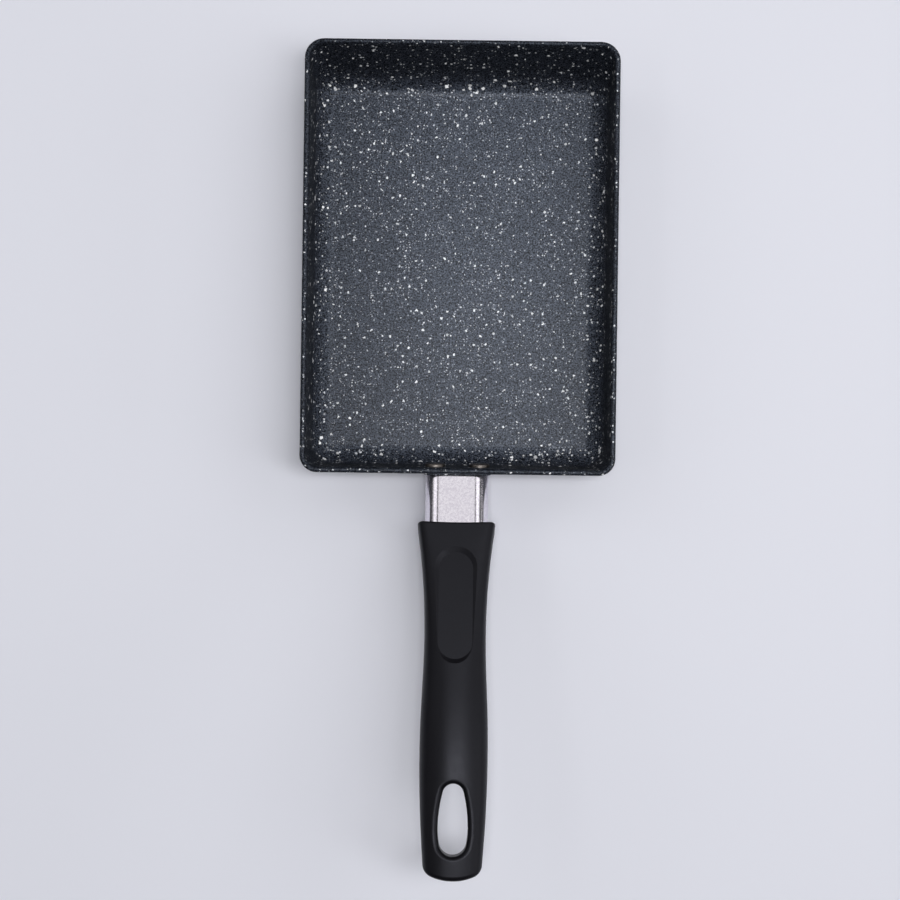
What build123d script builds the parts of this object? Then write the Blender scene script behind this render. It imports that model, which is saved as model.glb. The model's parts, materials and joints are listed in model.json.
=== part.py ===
from build123d import *
import os
from math import atan, atan2, cos, degrees, pi, radians, sin, sqrt, tan

# Rectangular omelette pan with a riveted bracket and a moulded handle.
# Millimetres, +Z up. The origin is the centre of the resting face, X runs across
# the pan, the sloped wall is at +Y and the handle leaves at -Y.

# Pan body
rim_width = 130.0
rim_length = 179.0
pan_height = 30.0
wall = 2.3
floor_thickness = 3.0
side_run = 2.2              # how far a side wall leans out over the height
near_run = 1.9              # the same for the handle's wall
far_run = 13.7              # the same for the sloped wall
rim_far_corner = 7.8
rim_near_corner = 6.8
base_far_corner = 12.8
base_near_corner = 13.2
base_edge_radius = 9.0
floor_edge_radius = 8.0
rim_outer_round = 1.0
rim_inner_round = 1.0
land_height = 0.4           # machined resting face, proud of the coated underside
land_inset = 10.5
land_corner = 7.0

# Pad that the bracket is riveted to
rim_to_mount = 11.5         # from the rim down to the rivets
pad_width = 27.6
pad_height = 20.4
pad_corner = 3.0
pad_proud = 0.6
pad_edge_round = 0.3

# Rivets
rivet_spacing = 18.4
rivet_shank = 4.2
rivet_head = 8.4
rivet_head_thickness = 1.3
rivet_head_round = 0.6
rivet_tail = 5.7
rivet_tail_thickness = 1.7
rivet_tail_round = 0.8
rivet_clearance = 0.05

# Bracket, one folded strap
strap = 1.8
flange_width = 24.2
flange_height = 12.0
flange_corner = 3.0
channel_width = 12.0        # outside the two cheeks
channel_height = 11.0
channel_length = 30.5       # from the pad to the outer face of the end web
channel_bend = 2.2
screw_hole = 5.4

# Nut, screw and washers
nut_flats = 8.0
nut_thickness = 4.0
screw_diameter = 5.0
screw_length = 40.0         # under the head
screw_head = 8.5
screw_head_height = 3.3
screw_head_round = 0.8
recess_span = 4.6           # cross recess in the head
recess_slot = 1.1
recess_sink = 1.8
thread_clearance = 0.06
flat_washer_diameter = 9.0
flat_washer_thickness = 1.0
washer_bore = 5.3
spring_washer_diameter = 8.6
spring_washer_thickness = 1.2
spring_washer_gap = 0.8

# Flame guard, the metal sleeve between pan and handle
guard_width = 26.0
guard_height = 17.4
guard_corner = 6.3
guard_crown = 0.35
guard_wall = 0.7
guard_in_handle = 3.0
guard_clearance = 0.15

# Handle
handle_rise = 16.0          # degrees above the table, at the pan
tip_rise = 6.0              # the same at the far end, which arches over
handle_start = 22.4         # from the pad, along the handle's axis
handle_length = 143.6       # along the same axis, to the crown of the far end
grip_width = 27.8
grip_thickness = 18.4
trim_half_width = 22.0      # of the outline that trims the front
front_sag = 1.0             # hollow of the front edge, over twice trim_half_width
front_round = 0.7
end_radius = 22.6           # crown of the far end, seen from above
end_corner = 5.2            # its corners, seen from above
end_half_width = 11.8       # where a corner runs into the side
end_flare = 12.0            # degrees, of the corner against the side there
end_round = 2.0
pocket_clearance = 0.3
bore_diameter = 5.6
counterbore_diameter = 9.6
counterbore_seat = 38.0     # from the handle's front to the washers' seat
hang_hole_length = 28.6
hang_hole_width = 12.0
hang_hole_to_end = 9.8      # from the hole to the handle's far end
hang_hole_to_widest = 10.6  # from the hole's far end to its widest place
hang_hole_near_radius = 4.25
hang_hole_far_radius = 5.5
hang_hole_lip = 1.8
thumb_start = 11.1
thumb_fade = 31.0           # from there to where its floor meets the top of the grip
thumb_length = 44.0
thumb_width = 18.4
thumb_depth = 1.0
thumb_wall_angle = 66.0
cut_overrun = 5.0

# Stations of the handle: share of the length, width as a share of grip_width,
# thickness as a share of grip_thickness, lift off the axis as a share of
# grip_thickness, and squareness of the section, 2 being an ellipse.
handle_station_shares = (
    (0.000, 1.157, 1.210, -0.019, 9.0),
    (0.045, 1.092, 1.185, -0.014, 8.0),
    (0.130, 0.994, 1.115, 0.003, 6.0),
    (0.245, 0.917, 1.035, 0.028, 4.0),
    (0.331, 0.901, 0.990, 0.041, 3.0),
    (0.441, 0.927, 0.970, 0.041, 2.4),
    (0.552, 0.973, 0.980, 0.015, 2.25),
    (0.655, 0.987, 0.980, -0.037, 2.2),
    (0.776, 0.966, 0.930, -0.134, 2.25),
    (0.886, 0.910, 0.850, -0.254, 2.35),
    (0.960, 0.856, 0.780, -0.350, 2.45),
    (1.040, 0.796, 0.690, -0.463, 2.5),
)
section_points = 32

# Derived sizes
base_width = rim_width - 2 * side_run
base_length = rim_length - near_run - far_run
wall_lean = degrees(atan(near_run / pan_height))
wall_through = wall * cos(radians(wall_lean))
mount_height = pan_height - rim_to_mount

# Frame of the handle's wall: X across, Y up the wall, Z out of the pan.
wall_y = -base_length / 2 - near_run * mount_height / pan_height
wall_plane = Plane(
    origin=(0, wall_y, mount_height),
    x_dir=(1, 0, 0),
    z_dir=(0, -cos(radians(wall_lean)), -sin(radians(wall_lean))),
)
pad_plane = wall_plane.offset(pad_proud)

# Frame of the handle: X across, Y up, Z along the axis, from the pad outwards.
axis_plane = Plane(
    origin=pad_plane.origin,
    x_dir=(1, 0, 0),
    z_dir=(0, -cos(radians(handle_rise)), sin(radians(handle_rise))),
)
front_plane = axis_plane.offset(handle_start)

# Frame of the handle seen from above: X across, Y along the axis.
plan_plane = Plane(origin=front_plane.origin, x_dir=(-1, 0, 0), z_dir=front_plane.y_dir)


def body_outline(height, inset):
    """Outline of the body at a height, drawn in by a wall or not at all."""
    height_share = height / pan_height
    width = base_width + (rim_width - base_width) * height_share
    far_y = base_length / 2 + far_run * height_share
    near_y = -base_length / 2 - near_run * height_share
    far_corner = base_far_corner + (rim_far_corner - base_far_corner) * height_share
    near_corner = base_near_corner + (rim_near_corner - base_near_corner) * height_share
    with BuildSketch(Plane.XY.offset(height)) as outline:
        with Locations((0, (far_y + near_y) / 2)):
            Rectangle(width - 2 * inset, far_y - near_y - 2 * inset)
        fillet(outline.vertices().group_by(Axis.Y)[-1], far_corner - inset)
        fillet(outline.vertices().group_by(Axis.Y)[0], near_corner - inset)
    return outline.sketch


def guard_outline(plane, growth):
    """Section of the flame guard, crowned on top, grown or drawn in."""
    half_width = guard_width / 2 + growth
    half_height = guard_height / 2 + growth
    with BuildSketch(plane) as outline:
        with BuildLine():
            ThreePointArc(
                (-half_width, half_height - guard_crown),
                (0, half_height),
                (half_width, half_height - guard_crown),
            )
            Polyline(
                (half_width, half_height - guard_crown),
                (half_width, -half_height),
                (-half_width, -half_height),
                (-half_width, half_height - guard_crown),
            )
        make_face()
        fillet(outline.vertices(), guard_corner + growth)
    return outline.sketch


def handle_section(station):
    """Section of the handle at a station, a rounded box between ellipse and square."""
    length_share, width_share, thickness_share, lift_share, squareness = station
    half_width = grip_width * width_share / 2
    half_thickness = grip_thickness * thickness_share / 2
    lift = grip_thickness * lift_share
    points = []
    for index in range(section_points):
        turn = 2 * pi * index / section_points
        spread_share = abs(cos(turn)) ** squareness + abs(sin(turn)) ** squareness
        reach_share = spread_share ** (-1 / squareness)
        across = half_width * reach_share * cos(turn)
        up = half_thickness * reach_share * sin(turn)
        points.append((across, up + lift))
    with BuildSketch(front_plane.offset(handle_length * length_share)) as section:
        with BuildLine():
            Spline(*points, periodic=True)
        make_face()
    return section.sketch


def handle_lift(distance, up_share):
    """Height above the handle's axis, some way behind its front and up its thickness."""
    share = distance / handle_length
    for before, after in zip(handle_station_shares, handle_station_shares[1:]):
        if before[0] <= share <= after[0]:
            part_share = (share - before[0]) / (after[0] - before[0])
            thickness_share = before[2] + (after[2] - before[2]) * part_share
            lift_share = before[3] + (after[3] - before[3]) * part_share
            return grip_thickness * (thickness_share * up_share + lift_share)
    return 0


def side_tangent(centre_y, radius):
    """Where a side arc of the hanging hole meets the circle of one of its ends."""
    half_width = hang_hole_width / 2
    away = centre_y - hang_hole_widest
    side_radius = (away ** 2 + half_width ** 2 - radius ** 2) / (2 * (half_width - radius))
    reach = radius / (side_radius - radius)
    return (reach * (side_radius - half_width), centre_y + reach * away)


def on_hang_hole(edge):
    """Whether an edge of the handle runs along the rim of the hanging hole."""
    centre = tip_plane.to_local_coords(edge.center())
    beside = abs(centre.X) < hang_hole_width / 2 + hang_hole_lip
    return beside and hang_hole_start - hang_hole_lip < centre.Y < hang_hole_lip - hang_hole_to_end


# Frame of the handle's far end: X across, Y outwards from the crown of the end.
tip_plane = Plane(
    plan_plane.from_local_coords((0, handle_length, handle_lift(handle_length, 0))),
    x_dir=plan_plane.x_dir,
    z_dir=(0, sin(radians(tip_rise)), cos(radians(tip_rise))),
)
hang_hole_start = -hang_hole_to_end - hang_hole_length
hang_hole_widest = -hang_hole_to_end - hang_hole_to_widest
end_corner_x = end_half_width - end_corner * cos(radians(end_flare))
end_corner_y = sqrt((end_radius - end_corner) ** 2 - end_corner_x ** 2) - end_radius
end_corner_angle = degrees(atan2(end_corner_y + end_radius, end_corner_x))


os.makedirs("parts", exist_ok=True)

# Pan body: leaning walls, sloped far wall, rounded floor edge, mounting pad
with BuildPart() as pan_body:
    loft(sections=[body_outline(land_height, 0), body_outline(pan_height, 0)], ruled=True)
    fillet(pan_body.edges().group_by(Axis.Z)[0], base_edge_radius)
    with BuildSketch(pad_plane):
        RectangleRounded(pad_width, pad_height, pad_corner)
    extrude(amount=-pad_proud - wall / 2)
    pad_face = pan_body.faces().filter_by(pad_plane).sort_by(Axis.Y)[0]
    fillet(pad_face.edges(), pad_edge_round)
    with BuildSketch(Plane.XY):
        Rectangle(base_width - 2 * land_inset, base_length - 2 * land_inset)
        fillet(vertices(), land_corner)
    extrude(amount=land_height)
    loft(
        sections=[body_outline(floor_thickness, wall), body_outline(pan_height, wall)],
        ruled=True,
        mode=Mode.SUBTRACT,
    )
    pan_floor = pan_body.faces().filter_by(Plane.XY).group_by(Axis.Z)[-2]
    fillet(pan_floor.edges(), floor_edge_radius)
    rim_face = pan_body.faces().sort_by(Axis.Z)[-1]
    fillet(rim_face.outer_wire().edges(), rim_outer_round)
    rim_face = pan_body.faces().sort_by(Axis.Z)[-1]
    fillet(rim_face.inner_wires()[0].edges(), rim_inner_round)
    with Locations(pad_plane):
        with Locations((-rivet_spacing / 2, 0), (rivet_spacing / 2, 0)):
            Hole(rivet_shank / 2 + rivet_clearance, depth=pad_proud + 2 * wall)
pan_body.part.label = "pan_body"
export_step(pan_body.part, "parts/pan_body.step")

# Two solid rivets, flat heads inside the pan, formed tails on the bracket
rivet_tail_seat = pad_proud + strap
for side, rivet_name in ((-1, "rivet_left"), (1, "rivet_right")):
    rivet_centre = wall_plane.from_local_coords((side * rivet_spacing / 2, 0, 0))
    rivet_plane = Plane(rivet_centre, x_dir=wall_plane.x_dir, z_dir=wall_plane.z_dir)
    with BuildPart() as rivet:
        with BuildSketch(rivet_plane.offset(-wall_through - rivet_head_thickness)):
            Circle(rivet_head / 2)
        extrude(amount=rivet_head_thickness)
        with BuildSketch(rivet_plane.offset(-wall_through)):
            Circle(rivet_shank / 2)
        extrude(amount=wall_through + rivet_tail_seat)
        with BuildSketch(rivet_plane.offset(rivet_tail_seat)):
            Circle(rivet_tail / 2)
        extrude(amount=rivet_tail_thickness)
        caps = rivet.faces().filter_by(rivet_plane).sort_by(Axis.Y)
        fillet(caps[-1].edges(), rivet_head_round)
        fillet(caps[0].edges(), rivet_tail_round)
    rivet.part.label = rivet_name
    export_step(rivet.part, f"parts/{rivet_name}.step")

# Bracket: two riveted flanges, two cheeks and an end web, folded from one strap
with BuildPart() as handle_bracket:
    with BuildSketch(axis_plane.offset(-channel_height)):
        Rectangle(channel_width, channel_height)
    extrude(amount=channel_length + channel_height)
    web_edges = handle_bracket.edges().filter_by(Axis(axis_plane.origin, axis_plane.y_dir))
    fillet(web_edges.sort_by(Axis.Y)[:2], channel_bend)
    with BuildSketch(axis_plane.offset(-channel_height)):
        Rectangle(channel_width - 2 * strap, channel_height)
    extrude(amount=channel_length + channel_height - strap, mode=Mode.SUBTRACT)
    split(bisect_by=pad_plane, keep=Keep.TOP)
    with BuildSketch(pad_plane):
        RectangleRounded(flange_width, flange_height, flange_corner)
        Rectangle(channel_width - 2 * strap, flange_height, mode=Mode.SUBTRACT)
        with Locations((-rivet_spacing / 2, 0), (rivet_spacing / 2, 0)):
            Circle(rivet_shank / 2 + rivet_clearance, mode=Mode.SUBTRACT)
    extrude(amount=strap)
    with Locations(axis_plane.offset(channel_length)):
        Hole(screw_hole / 2, depth=2 * strap)
handle_bracket.part.label = "handle_bracket"
export_step(handle_bracket.part, "parts/handle_bracket.step")

# Hexagon nut, welded behind the web; its thread is a plain bore
nut_plane = axis_plane.offset(channel_length - strap - nut_thickness)
with BuildPart() as bracket_nut:
    with BuildSketch(nut_plane):
        RegularPolygon(nut_flats / 2, 6, major_radius=False, rotation=90)
        Circle(screw_diameter / 2 + thread_clearance, mode=Mode.SUBTRACT)
    extrude(amount=nut_thickness)
bracket_nut.part.label = "bracket_nut"
export_step(bracket_nut.part, "parts/bracket_nut.step")

# Flame guard: drawn sleeve, cut to the pad, its other end let into the handle
guard_start_plane = axis_plane.offset(-guard_height)
guard_run = guard_height + handle_start + guard_in_handle
with BuildPart() as flame_guard:
    extrude(guard_outline(guard_start_plane, 0), amount=guard_run)
    extrude(guard_outline(guard_start_plane, -guard_wall), amount=guard_run, mode=Mode.SUBTRACT)
    split(bisect_by=pad_plane, keep=Keep.TOP)
flame_guard.part.label = "flame_guard"
export_step(flame_guard.part, "parts/flame_guard.step")

# Handle: swelling grip with a hollow front edge and a crowned end
thumb_floor = handle_lift(thumb_start, 0.5) - thumb_depth
thumb_fall = thumb_floor - handle_lift(thumb_start + thumb_fade, 0.5)
thumb_tilt = degrees(atan(thumb_fall / thumb_fade))
thumb_wall_run = thumb_depth * tan(radians(thumb_wall_angle))
thumb_plane = Plane(
    plan_plane.from_local_coords((0, thumb_start, thumb_floor)),
    x_dir=plan_plane.x_dir,
    z_dir=plan_plane.z_dir,
).rotated((-thumb_tilt, 0, 0))
pocket_end = channel_length - handle_start + pocket_clearance
with BuildPart() as handle:
    loft(sections=[handle_section(station) for station in handle_station_shares])
    with BuildSketch(plan_plane):
        with BuildLine():
            ThreePointArc((-trim_half_width, 0), (0, front_sag), (trim_half_width, 0))
            Polyline(
                (trim_half_width, 0),
                (trim_half_width, 2 * handle_length),
                (-trim_half_width, 2 * handle_length),
                (-trim_half_width, 0),
            )
        make_face()
    extrude(amount=handle_length, both=True, mode=Mode.INTERSECT)
    with BuildSketch(tip_plane):
        with BuildLine():
            crown = CenterArc(
                (0, -end_radius), end_radius, end_corner_angle, 180 - 2 * end_corner_angle
            )
            corner = CenterArc(
                (end_corner_x, end_corner_y), end_corner, end_flare, end_corner_angle - end_flare
            )
            flank = PolarLine(corner @ 0, 2 * handle_length, end_flare - 90)
            mirror(corner, about=Plane.YZ)
            mirror(flank, about=Plane.YZ)
            Line(flank @ 1, (-(flank @ 1).X, (flank @ 1).Y))
        make_face()
    extrude(amount=handle_length, both=True, mode=Mode.INTERSECT)
    fillet(handle.faces().sort_by(Axis.Y)[0].edges(), end_round)
    fillet(handle.faces().sort_by(Axis.Y)[-1].edges(), front_round)

    # Thumb rest: flat floor, sloping wall, running out towards the grip
    with BuildSketch(thumb_plane):
        with Locations((0, thumb_length / 2 + thumb_wall_run)):
            SlotOverall(thumb_length, thumb_width - 2 * thumb_wall_run, rotation=90)
    extrude(amount=2 * thumb_depth, taper=-thumb_wall_angle, mode=Mode.SUBTRACT)

    # Hanging hole: egg outline with rolled lips above and below
    near_centre_y = hang_hole_start + hang_hole_near_radius
    far_centre_y = -hang_hole_to_end - hang_hole_far_radius
    near_x, near_y = side_tangent(near_centre_y, hang_hole_near_radius)
    far_x, far_y = side_tangent(far_centre_y, hang_hole_far_radius)
    widest = (hang_hole_width / 2, hang_hole_widest)
    with BuildSketch(tip_plane):
        with BuildLine():
            near_side = TangentArc(widest, (near_x, near_y), tangent=(0, -1))
            far_side = TangentArc(widest, (far_x, far_y), tangent=(0, 1))
            mirror(near_side, about=Plane.YZ)
            mirror(far_side, about=Plane.YZ)
            ThreePointArc((-near_x, near_y), (0, hang_hole_start), (near_x, near_y))
            ThreePointArc((far_x, far_y), (0, -hang_hole_to_end), (-far_x, far_y))
        make_face()
    extrude(amount=2 * grip_thickness, both=True, mode=Mode.SUBTRACT)
    lips = handle.edges().filter_by(GeomType.BSPLINE).filter_by(on_hang_hole)
    fillet(lips, hang_hole_lip)

    # Socket for the guard, pocket for the channel, screw bore and counterbore
    extrude(
        guard_outline(front_plane.offset(-cut_overrun), guard_clearance),
        amount=cut_overrun + guard_in_handle,
        mode=Mode.SUBTRACT,
    )
    with BuildSketch(front_plane):
        Rectangle(channel_width + 2 * pocket_clearance, channel_height + 2 * pocket_clearance)
    extrude(amount=pocket_end, mode=Mode.SUBTRACT)
    with BuildSketch(front_plane):
        Circle(bore_diameter / 2)
    extrude(amount=counterbore_seat, mode=Mode.SUBTRACT)
    with BuildSketch(front_plane.offset(counterbore_seat)):
        Circle(counterbore_diameter / 2)
    extrude(amount=handle_length + near_centre_y - counterbore_seat, mode=Mode.SUBTRACT)
handle.part.label = "handle"
export_step(handle.part, "parts/handle.step")

# Washers under the screw head, at the bottom of the counterbore
seat_plane = front_plane.offset(counterbore_seat)
with BuildPart() as flat_washer:
    with BuildSketch(seat_plane):
        Circle(flat_washer_diameter / 2)
        Circle(washer_bore / 2, mode=Mode.SUBTRACT)
    extrude(amount=flat_washer_thickness)
flat_washer.part.label = "flat_washer"
export_step(flat_washer.part, "parts/flat_washer.step")

with BuildPart() as spring_washer:
    with BuildSketch(seat_plane.offset(flat_washer_thickness)):
        Circle(spring_washer_diameter / 2)
        Circle(washer_bore / 2, mode=Mode.SUBTRACT)
        with Locations((0, spring_washer_diameter / 2)):
            Rectangle(spring_washer_gap, spring_washer_diameter, mode=Mode.SUBTRACT)
    extrude(amount=spring_washer_thickness)
spring_washer.part.label = "spring_washer"
export_step(spring_washer.part, "parts/spring_washer.step")

# Handle screw, driven from the hanging hole; its thread is a plain shank
head_plane = seat_plane.offset(flat_washer_thickness + spring_washer_thickness)
with BuildPart() as handle_screw:
    with BuildSketch(head_plane):
        Circle(screw_head / 2)
    extrude(amount=screw_head_height)
    fillet(handle_screw.edges().sort_by(Axis.Y)[0], screw_head_round)
    with BuildSketch(head_plane):
        Circle(screw_diameter / 2)
    extrude(amount=-screw_length)
    with BuildSketch(head_plane.offset(screw_head_height)):
        Rectangle(recess_span, recess_slot)
        Rectangle(recess_slot, recess_span)
    extrude(amount=-recess_sink, mode=Mode.SUBTRACT)
handle_screw.part.label = "handle_screw"
export_step(handle_screw.part, "parts/handle_screw.step")
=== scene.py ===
import bpy
import json
import math
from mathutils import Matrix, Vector

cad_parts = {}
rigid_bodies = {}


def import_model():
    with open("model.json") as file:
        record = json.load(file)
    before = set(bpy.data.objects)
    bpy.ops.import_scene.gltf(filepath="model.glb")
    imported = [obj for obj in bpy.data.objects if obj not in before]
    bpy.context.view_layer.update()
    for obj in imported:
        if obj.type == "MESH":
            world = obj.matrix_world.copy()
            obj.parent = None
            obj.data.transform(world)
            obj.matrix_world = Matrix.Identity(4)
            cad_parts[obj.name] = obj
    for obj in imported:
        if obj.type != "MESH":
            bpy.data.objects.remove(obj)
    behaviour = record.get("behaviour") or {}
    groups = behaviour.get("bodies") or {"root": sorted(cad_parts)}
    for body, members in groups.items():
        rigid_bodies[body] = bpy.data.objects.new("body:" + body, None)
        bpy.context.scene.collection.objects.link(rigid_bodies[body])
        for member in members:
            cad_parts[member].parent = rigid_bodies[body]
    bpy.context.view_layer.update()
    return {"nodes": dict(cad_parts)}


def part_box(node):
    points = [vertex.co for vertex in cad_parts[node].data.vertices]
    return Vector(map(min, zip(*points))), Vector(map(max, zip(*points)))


# The scene is in metres, and MM turns millimetres into them
MM = 0.001

for leftover in list(bpy.data.objects):
    bpy.data.objects.remove(leftover)

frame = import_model()
nodes = frame["nodes"]


# Materials

class Shader:
    """A material made of nodes, with short ways to make them and to feed its surface."""

    # A Mix node's colour sockets go by number, because sockets of other kinds share their names
    MIX_FIRST = 6
    MIX_SECOND = 7
    MIX_RESULT = 2

    # How far one seed's pattern lies from the next one's
    SEED_STEP = (7.31, 3.77, 5.13)

    def __init__(self, name):
        self.material = bpy.data.materials.new(name)
        self.material.use_nodes = True
        self.tree = self.material.node_tree
        self.surface = self.tree.nodes["Principled BSDF"]
        self.place = self.node("ShaderNodeTexCoord").outputs["Object"]

    def node(self, kind, inputs=None, **settings):
        made = self.tree.nodes.new(kind)
        for name, value in settings.items():
            setattr(made, name, value)
        for name, value in (inputs or {}).items():
            self.put(value, made.inputs[name])
        return made

    def put(self, value, socket):
        """Links another node's output to a socket, or sets the socket's own number or colour."""
        if isinstance(value, bpy.types.NodeSocket):
            self.tree.links.new(value, socket)
        else:
            socket.default_value = value

    def set(self, **values):
        """Feeds the surface's sockets, named with an underscore for each space."""
        for name, value in values.items():
            self.put(value, self.surface.inputs[name.replace("_", " ")])

    def dress(self, *names):
        """Puts the material on those nodes."""
        for name in names:
            slots = nodes[name].data.materials
            slots.clear()
            slots.append(self.material)

    def scaled(self, size_mm, offset=(0, 0, 0)):
        """The place on the object, counted in steps of that size."""
        step = 1 / (size_mm * MM)
        return self.node(
            "ShaderNodeMapping",
            {"Vector": self.place, "Location": offset, "Scale": (step, step, step)},
        ).outputs["Vector"]

    def noise(self, size_mm, detail=2.0, roughness=0.5):
        """Noise with features of about that size."""
        return self.node(
            "ShaderNodeTexNoise",
            {"Vector": self.scaled(size_mm), "Scale": 1.0, "Detail": detail, "Roughness": roughness},
        ).outputs["Fac"]

    def math(self, operation, first, second=0.0):
        return self.node("ShaderNodeMath", {0: first, 1: second}, operation=operation).outputs[0]

    def vector_math(self, operation, inputs):
        return self.node("ShaderNodeVectorMath", inputs, operation=operation).outputs[0]

    def product(self, first, second):
        return self.math("MULTIPLY", first, second)

    def distance(self, first, second):
        return self.math("ABSOLUTE", self.math("SUBTRACT", first, second))

    def span(self, value, low, high, to_low=0.0, to_high=1.0, smooth=True):
        """Carries a value's range from low to high over to another range, and stops at its ends."""
        return self.node(
            "ShaderNodeMapRange",
            {"Value": value, "From Min": low, "From Max": high, "To Min": to_low, "To Max": to_high},
            interpolation_type="SMOOTHSTEP" if smooth else "LINEAR",
        ).outputs["Result"]

    def varied(self, noise, to_low=0.0, to_high=1.0):
        """Carries noise over to another range, from the two values that most of it lies between."""
        usual_low, usual_high = 0.3, 0.7
        return self.span(noise, usual_low, usual_high, to_low, to_high)

    def mix(self, share, first, second):
        """Goes from the first colour, at share 0, to the second, at share 1."""
        return self.node(
            "ShaderNodeMix",
            {"Factor": share, self.MIX_FIRST: first, self.MIX_SECOND: second},
            data_type="RGBA",
        ).outputs[self.MIX_RESULT]

    def bump(self, height, distance_mm, strength):
        return self.node(
            "ShaderNodeBump",
            {"Height": height, "Distance": distance_mm * MM, "Strength": strength},
        ).outputs["Normal"]

    def flecked(self, under, tint, crowd, cell_mm, radius_mm, share, wobble, seed, faintest, strongest):
        """Lays irregular flecks of one kind over a colour.

        A jittered lattice has a fleck in that share of its cells, times crowd. Each has its own radius and
        strength, and its outline wanders by wobble times the largest radius.
        """
        # The largest and smallest radius, in cells
        largest = radius_mm / cell_mm
        smallest = 0.4 * largest

        # The edge fades out between these shares of the radius
        fade_start, fade_end = 0.8, 1.1

        offset = tuple(seed * step for step in self.SEED_STEP)
        wander = self.node(
            "ShaderNodeTexNoise",
            {"Vector": self.scaled(radius_mm, offset), "Scale": 1.0, "Detail": 1.0},
        ).outputs["Color"]
        wander = self.vector_math("SUBTRACT", {0: wander, 1: (0.5, 0.5, 0.5)})
        wander = self.vector_math("SCALE", {0: wander, "Scale": 2 * wobble * largest})
        lattice = self.vector_math("ADD", {0: self.scaled(cell_mm, offset), 1: wander})
        cells = self.node("ShaderNodeTexVoronoi", {"Vector": lattice, "Scale": 1.0}).outputs
        chance, tone, girth = self.node("ShaderNodeSeparateColor", {"Color": cells["Color"]}).outputs
        kept = self.math("LESS_THAN", chance, self.product(crowd, share))
        radius = self.span(self.product(girth, girth), 0, 1, smallest, largest, smooth=False)
        outward = self.math("DIVIDE", cells["Distance"], radius)
        inside = self.span(outward, fade_start, fade_end, 1.0, 0.0)
        strength = self.product(self.product(inside, kept), self.span(tone, 0, 1, faintest, strongest))
        return self.mix(strength, under, tint)


def non_stick_coat():
    """Dark speckled coat of the pan, with bare machined metal on the face that it rests on."""
    coat = Shader("non_stick_coat")
    x, y, height = coat.node("ShaderNodeSeparateXYZ", {"Vector": coat.place}).outputs
    pan_low, pan_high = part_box("pan_body")
    rest_height, rim_height = pan_low[2], pan_high[2]

    # Grain and flecks are strongest on the floor and weaken up the walls, and the ground fades towards near
    # black there as painted shade
    floor_height = rest_height + 4 * MM
    wall_height = rest_height + 15 * MM
    wall_share = 0.55
    wall_shade_and_sparse_flecks = coat.span(height, floor_height, wall_height, 1.0, wall_share)

    # The ground is mottled from near black to slate
    near_black = (0.0010, 0.0013, 0.0024, 1)
    slate = (0.042, 0.049, 0.067, 1)
    grain = coat.span(coat.noise(0.62, detail=2.0, roughness=0.65), 0.40, 0.61, smooth=False)
    colour = coat.mix(coat.product(grain, wall_shade_and_sparse_flecks), near_black, slate)

    # Three sizes of flecks, the smallest the greyest, stand in loose crowds
    grey = (0.34, 0.36, 0.40, 1)
    silver = (0.72, 0.74, 0.78, 1)
    white = (0.94, 0.95, 0.97, 1)
    sparse, dense = 0.45, 1.75
    patches = coat.span(coat.noise(6.0, detail=1.0), 0.32, 0.68, sparse, dense)
    crowd = coat.product(wall_shade_and_sparse_flecks, patches)
    colour = coat.flecked(
        colour, grey, crowd,
        cell_mm=0.8, radius_mm=0.27, share=0.55, wobble=0.6, seed=1, faintest=0.12, strongest=0.8,
    )
    colour = coat.flecked(
        colour, silver, crowd,
        cell_mm=1.4, radius_mm=0.56, share=0.44, wobble=0.7, seed=2, faintest=0.3, strongest=1.0,
    )
    colour = coat.flecked(
        colour, white, crowd,
        cell_mm=2.7, radius_mm=0.90, share=0.42, wobble=0.7, seed=3, faintest=0.5, strongest=1.0,
    )

    # The face that the pan rests on is machined, and the coat starts just above it
    bare_metal = (0.62, 0.62, 0.63, 1)
    coat_start = rest_height + 0.1 * MM
    machined = coat.math("LESS_THAN", height, coat_start)
    colour = coat.mix(machined, colour, bare_metal)

    # A painted sheen: the specular level is highest round one place of the floor, at its pool of light,
    # falls off from there and comes back on the rim
    sheen_pool_x, sheen_pool_y = 12 * MM, 25 * MM
    side_start, side_end = 10 * MM, 66 * MM
    far_start, far_end = 25 * MM, 95 * MM
    rim_start, rim_end = rim_height - 2 * MM, rim_height - 0.5 * MM
    side_gloss, far_gloss, rim_gloss = 0.62, 0.78, 0.25
    black_gloss, slate_gloss = 0.12, 0.86
    across = coat.span(coat.distance(x, sheen_pool_x), side_start, side_end, 1.0, side_gloss)
    along = coat.span(coat.distance(y, sheen_pool_y), far_start, far_end, 1.0, far_gloss)
    rim = coat.span(height, rim_start, rim_end, 0, rim_gloss)
    painted_sheen_pool = coat.product(coat.product(across, along), coat.math("ADD", wall_shade_and_sparse_flecks, rim))
    # The grain's own specular level, times the painted sheen
    gloss_and_painted_sheen = coat.product(painted_sheen_pool, coat.span(grain, 0, 1, black_gloss, slate_gloss, smooth=False))

    # An even gloss stands behind the one that varies, for a copy that can't carry it
    coat.set(Specular_IOR_Level=0.4)
    coat.set(
        Base_Color=colour,
        Metallic=machined,
        Roughness=0.5,
        Specular_IOR_Level=gloss_and_painted_sheen,
        Specular_Tint=(0.70, 0.80, 1.0, 1),
        Coat_Weight=0.07,
        Coat_Roughness=0.3,
        Normal=coat.bump(coat.noise(0.8, detail=2.0, roughness=0.6), distance_mm=0.05, strength=0.7),
    )
    coat.dress("pan_body")


def rivet_metal():
    """Dull heads of the two rivets."""
    metal = Shader("rivet_metal")
    metal.set(
        Base_Color=(0.15, 0.135, 0.125, 1),
        Metallic=1.0,
        Roughness=metal.varied(metal.noise(0.8), 0.32, 0.5),
    )
    metal.dress("rivet_left", "rivet_right")


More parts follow.
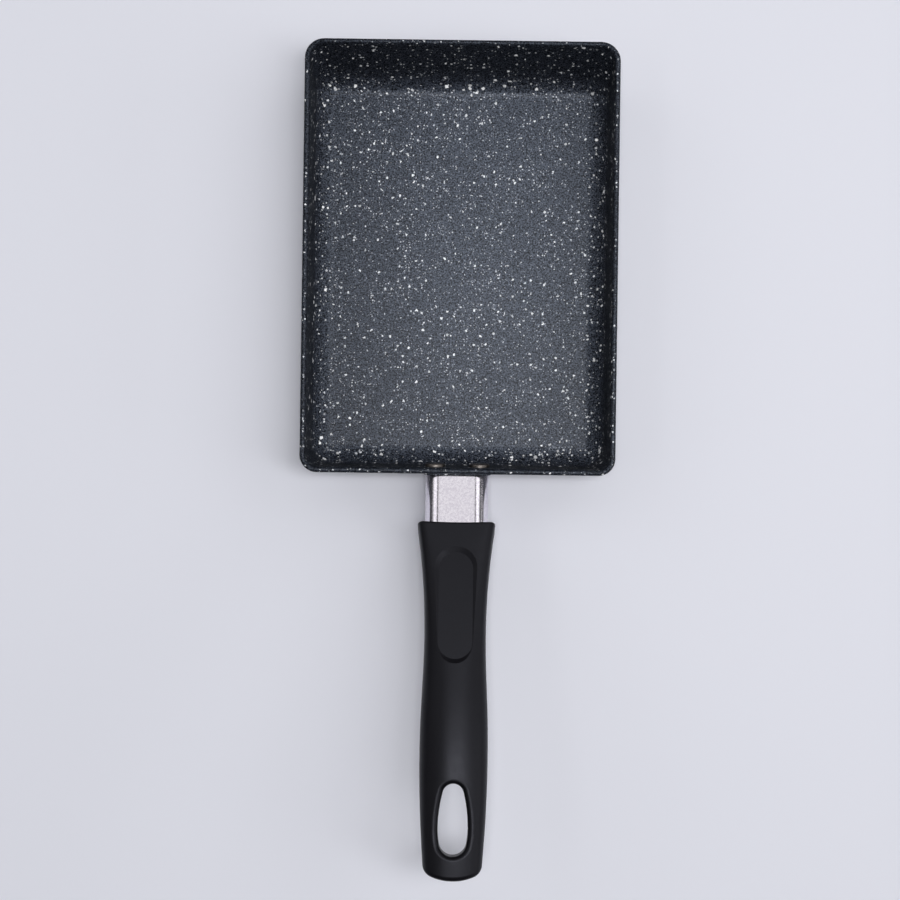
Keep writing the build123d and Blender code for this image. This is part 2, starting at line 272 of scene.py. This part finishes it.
def drawn_steel():
    """Bright, faintly clouded metal of the flame guard."""
    steel = Shader("drawn_steel")
    dull = (0.74, 0.70, 0.775, 1)
    bright = (0.87, 0.835, 0.895, 1)
    clouds = steel.span(steel.noise(0.9, detail=2.0, roughness=0.6), 0.35, 0.65)
    steel.set(
        Base_Color=steel.mix(clouds, dull, bright),
        Metallic=1.0,
        Roughness=steel.varied(steel.noise(3.0, detail=1.0), 0.15, 0.18),
    )
    steel.dress("flame_guard")


def pressed_steel():
    """Plain metal of the bracket and the fasteners inside the handle."""
    steel = Shader("pressed_steel")
    steel.set(
        Base_Color=(0.55, 0.55, 0.56, 1),
        Metallic=1.0,
        Roughness=steel.varied(steel.noise(1.5), 0.3, 0.45),
    )
    steel.dress("handle_bracket", "bracket_nut", "handle_screw", "flat_washer", "spring_washer")


def moulded_handle():
    """Black moulded handle with a very fine grain."""
    grip = Shader("moulded_handle")
    black = (0.0016, 0.0014, 0.0020, 1)
    charcoal = (0.0036, 0.0032, 0.0042, 1)
    grain = grip.noise(0.35, detail=3.0, roughness=0.6)
    grip.set(
        Base_Color=grip.mix(grip.varied(grain), black, charcoal),
        Roughness=grip.varied(grip.noise(4.0), 0.40, 0.44),
        Specular_IOR_Level=0.22,
        Specular_Tint=(0.84, 0.86, 1.0, 1),
        Normal=grip.bump(grain, distance_mm=0.01, strength=0.4),
    )
    grip.dress("handle")


non_stick_coat()
rivet_metal()
drawn_steel()
pressed_steel()
moulded_handle()


# The plain surface that the pan lies on

def pale_floor(reach):
    """A level floor that goes so many metres each way."""
    mesh = bpy.data.meshes.new("floor")
    mesh.from_pydata(
        [(-reach, -reach, 0), (reach, -reach, 0), (reach, reach, 0), (-reach, reach, 0)],
        [],
        [(0, 1, 2, 3)],
    )
    floor = bpy.data.objects.new("floor", mesh)
    bpy.context.scene.collection.objects.link(floor)
    table = Shader("pale_table")
    table.set(Base_Color=(0.722, 0.73, 0.80, 1), Roughness=0.6, Specular_IOR_Level=0.2)
    mesh.materials.append(table.material)


pale_floor(reach=6.0)

# The camera looks straight down, and is turned a little as in the photograph
camera_x = -3.1 * MM
camera_y = -73.7 * MM
camera_height = 930.0 * MM
lens_mm = 87.7
sensor_mm = 36.0
roll_deg = 0.78
nearest_seen = 0.05
farthest_seen = 20.0

camera_data = bpy.data.cameras.new("camera")
camera_data.lens = lens_mm
camera_data.sensor_width = sensor_mm
camera_data.sensor_fit = "HORIZONTAL"
camera_data.clip_start = nearest_seen
camera_data.clip_end = farthest_seen
camera = bpy.data.objects.new("camera", camera_data)
bpy.context.scene.collection.objects.link(camera)
camera.location = (camera_x, camera_y, camera_height)
camera.rotation_euler = (0, 0, math.radians(roll_deg))
bpy.context.scene.camera = camera


# Lights

def softbox(name, tilt, azimuth, width, length, power, distance=1.8):
    """A soft light aimed at the surface under the camera.

    It stands tilt degrees down from overhead, at the azimuth in degrees: 0 is right of the pan, 90 beyond it
    and 180 left of it. Its width lies level, and its length leans with the tilt. Both are in metres, and the
    power is in watts.
    """
    data = bpy.data.lights.new(name, "AREA")
    data.shape = "RECTANGLE"
    data.size = width
    data.size_y = length
    data.energy = power
    lamp = bpy.data.objects.new(name, data)
    bpy.context.scene.collection.objects.link(lamp)
    polar, turn = math.radians(tilt), math.radians(azimuth)
    level = math.sin(polar)
    away = Vector((level * math.cos(turn), level * math.sin(turn), math.cos(polar)))
    lamp.location = Vector((camera_x, camera_y, 0)) + away * distance
    lamp.rotation_mode = "QUATERNION"
    lamp.rotation_quaternion = (-away).to_track_quat("-Z", "Y")


# Overhead, for the surface and the floor of the pan
softbox("overhead", tilt=11, azimuth=18, width=0.3, length=0.3, power=4.5)
softbox("overhead_top", tilt=0, azimuth=0, width=0.3, length=0.3, power=10.5)

# From the right, for the shadow on the pan's left
softbox("key", tilt=21, azimuth=4, width=0.35, length=0.35, power=3.5)
softbox("key_low", tilt=33, azimuth=-12, width=0.35, length=0.35, power=2.2)

# Wide panels on the right, for the inside of the left wall and the right edges of rim and handle
softbox("right_panel", tilt=52, azimuth=0, width=2.0, length=1.17, power=11.1, distance=3.0)
softbox("right_low", tilt=72, azimuth=-3, width=2.17, length=0.47, power=10.0, distance=3.0)

# On the left, for the inside of the right wall and the left edges of rim and handle
softbox("left_strip", tilt=34, azimuth=180, width=1.3, length=0.22, power=1.25)
softbox("left_panel", tilt=60, azimuth=180, width=1.3, length=0.6, power=1.5)

# Beyond the pan, for what the flame guard mirrors: the panel in its flat top, the next two in its corners
softbox("far_panel", tilt=32, azimuth=94, width=1.0, length=0.8, power=2.05)
softbox("far_left", tilt=58, azimuth=141, width=0.75, length=1.2, power=3.1)
softbox("far_right", tilt=52, azimuth=45, width=0.8, length=1.0, power=3.2)
softbox("far_strip", tilt=64, azimuth=90, width=1.4, length=0.3, power=0.5)

# A faint, slightly blue fill from all round
fill_colour = (0.92, 0.94, 1.0, 1)
fill_strength = 0.05
world = bpy.data.worlds.new("studio")
bpy.context.scene.world = world
world.use_nodes = True
background = world.node_tree.nodes["Background"]
background.inputs["Color"].default_value = fill_colour
background.inputs["Strength"].default_value = fill_strength

# Colours are shown plainly, with no film curve over them
bpy.context.scene.view_settings.view_transform = "Standard"
bpy.context.scene.view_settings.look = "None"
